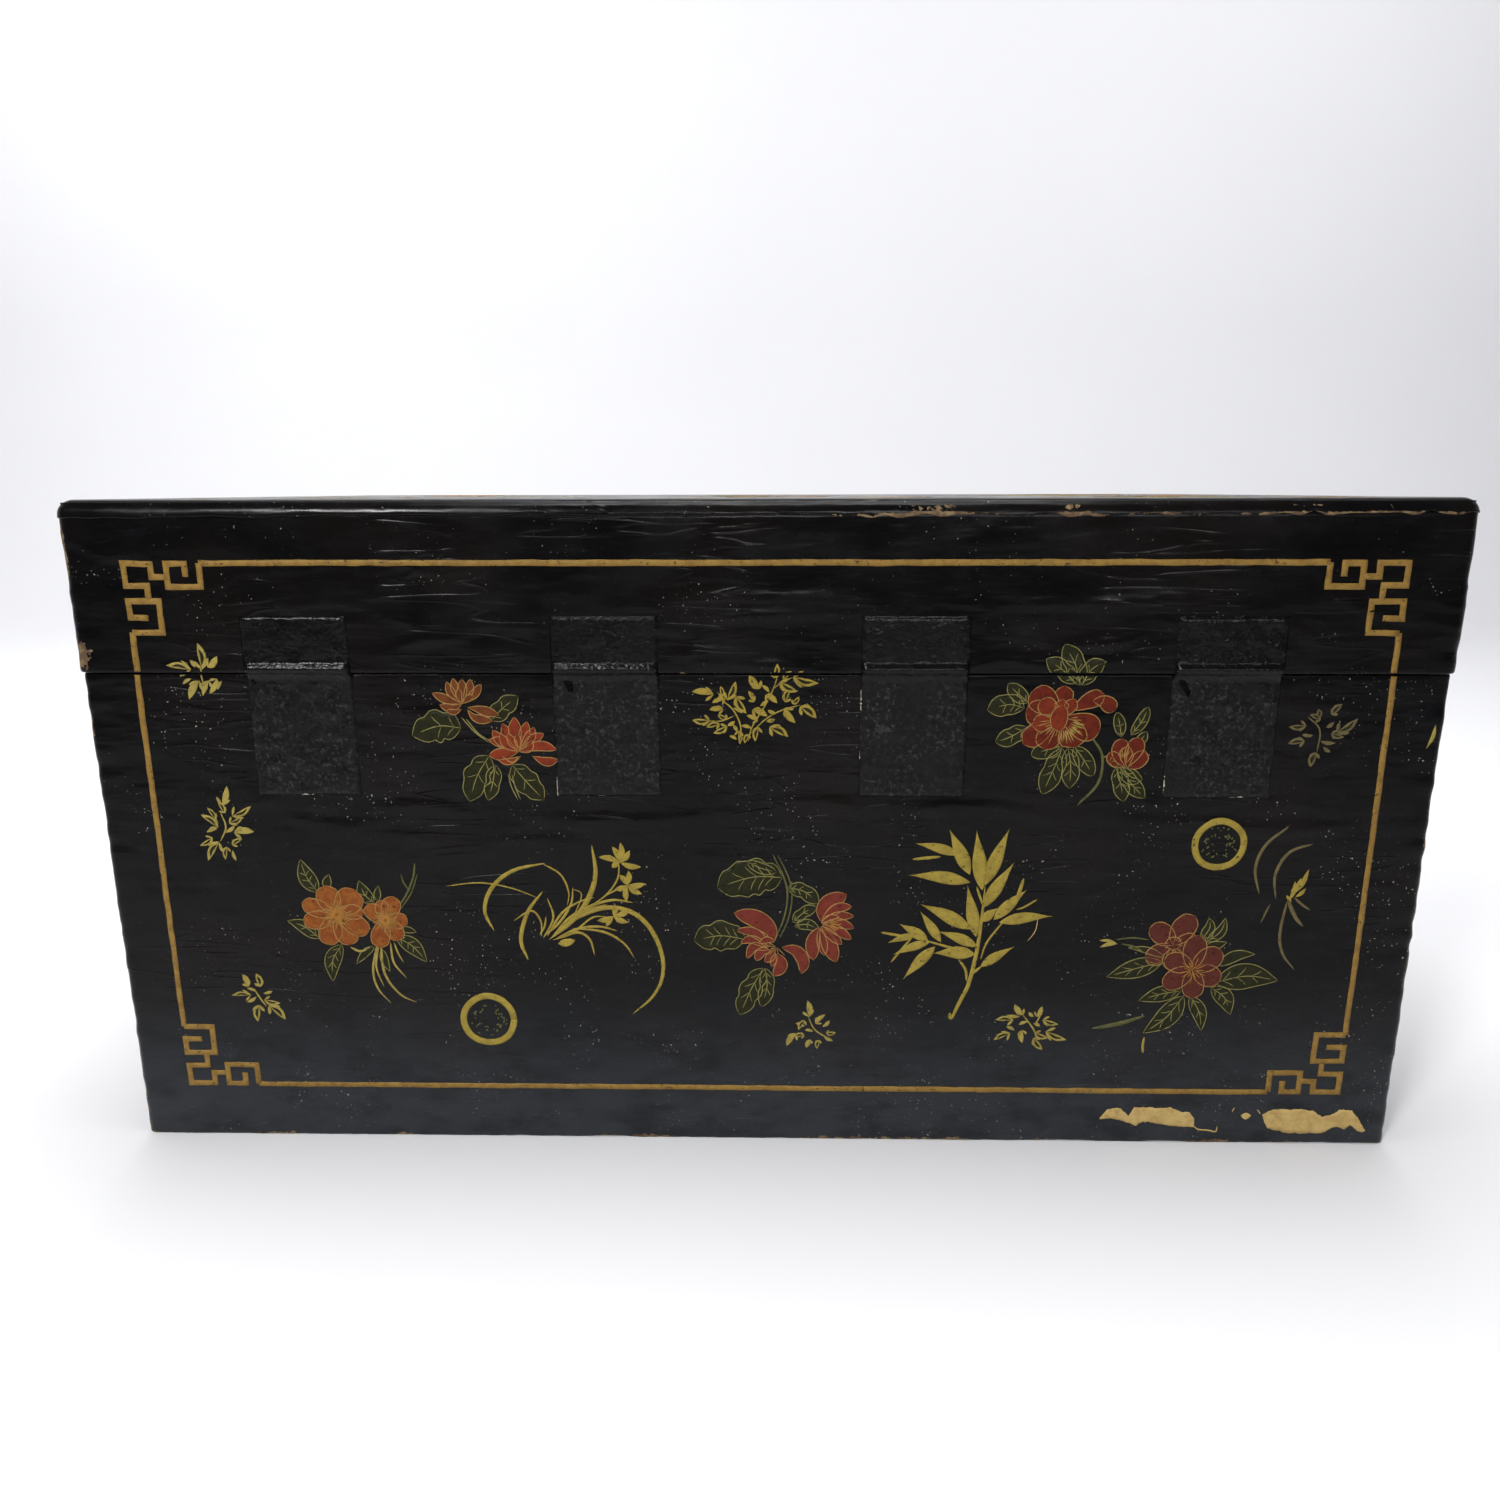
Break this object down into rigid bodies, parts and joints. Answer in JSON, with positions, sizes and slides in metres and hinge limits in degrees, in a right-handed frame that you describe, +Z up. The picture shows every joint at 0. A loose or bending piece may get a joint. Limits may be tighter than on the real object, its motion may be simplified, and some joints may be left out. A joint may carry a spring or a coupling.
{
  "type": "footlocker",
  "caption": "Lacquered hide-covered wooden trunk with a strap-hinged lid, a hasp lock and a bail handle at each end.",
  "frame": {"origin": "the middle of the underside, on the surface that the trunk stands on", "axes": "+Z up, +X along the long side; -Y leaves the hinge side, which carries the four straps, and +Y leaves the lock side"},
  "size_m": [0.735, 0.4856, 0.356],
  "materials": {
    "camphor_wood": "bare, planed, aged",
    "lip_wood": "bare, planed, handled",
    "black_hide": "black lacquer on wrinkled hide, painted in gold, red and green",
    "strap_hide": "worn black lacquer on rough hide",
    "brass": "aged, rubbed bright on the edges",
    "nail_iron": "dark iron"
  },
  "bodies": {
    "chest_body": {"bottom_board": "camphor_wood", "wall_hinge_side": "camphor_wood", "wall_lock_side": "camphor_wood", "wall_left": "camphor_wood", "wall_right": "camphor_wood", "bottom_nails": "nail_iron", "bottom_hide": "black_hide", "body_hide": "black_hide", "lip_hinge_side": "lip_wood", "lip_lock_side": "lip_wood", "lip_left": "lip_wood", "lip_right": "lip_wood", "hinge_strap_1": "strap_hide", "hinge_strap_2": "strap_hide", "hinge_strap_3": "strap_hide", "hinge_strap_4": "strap_hide", "body_lock_plate": "brass", "body_lock_tacks": "brass", "lock_loop_left": "brass", "lock_loop_right": "brass", "left_rosettes": "brass", "right_rosettes": "brass", "left_posts": "brass", "right_posts": "brass", "left_washers": "brass", "right_washers": "brass"},
    "lid": {"lid_board": "camphor_wood", "rail_hinge_side": "camphor_wood", "rail_lock_side": "camphor_wood", "rail_left": "camphor_wood", "rail_right": "camphor_wood", "lid_nails": "nail_iron", "lid_band_hide": "black_hide", "lid_top_hide": "black_hide", "lid_lock_plate": "brass", "lid_lock_tacks": "brass", "hasp_pin": "brass"},
    "hasp": {"hasp": "brass"},
    "left_handle": {"left_bail": "brass"},
    "right_handle": {"right_bail": "brass"}
  },
  "joints": [
    {"name": "lid_hinge", "type": "hinge", "parent": "chest_body", "child": "lid", "pos_m": [0, -0.2309, 0.26825], "axis": [1, 0, 0], "range_deg": [0, 110], "deforming": ["hinge_strap_1", "hinge_strap_2", "hinge_strap_3", "hinge_strap_4"]},
    {"name": "hasp_hinge", "type": "hinge", "parent": "lid", "child": "hasp", "pos_m": [0, 0.2346, 0.283], "axis": [1, 0, 0], "range_deg": [-19, 155]},
    {"name": "left_handle_swing", "type": "hinge", "parent": "chest_body", "child": "left_handle", "pos_m": [-0.3615, 0, 0.186], "axis": [0, 1, 0], "range_deg": [-5, 175]},
    {"name": "right_handle_swing", "type": "hinge", "parent": "chest_body", "child": "right_handle", "pos_m": [0.3615, 0, 0.186], "axis": [0, -1, 0], "range_deg": [-5, 175]}
  ]
}
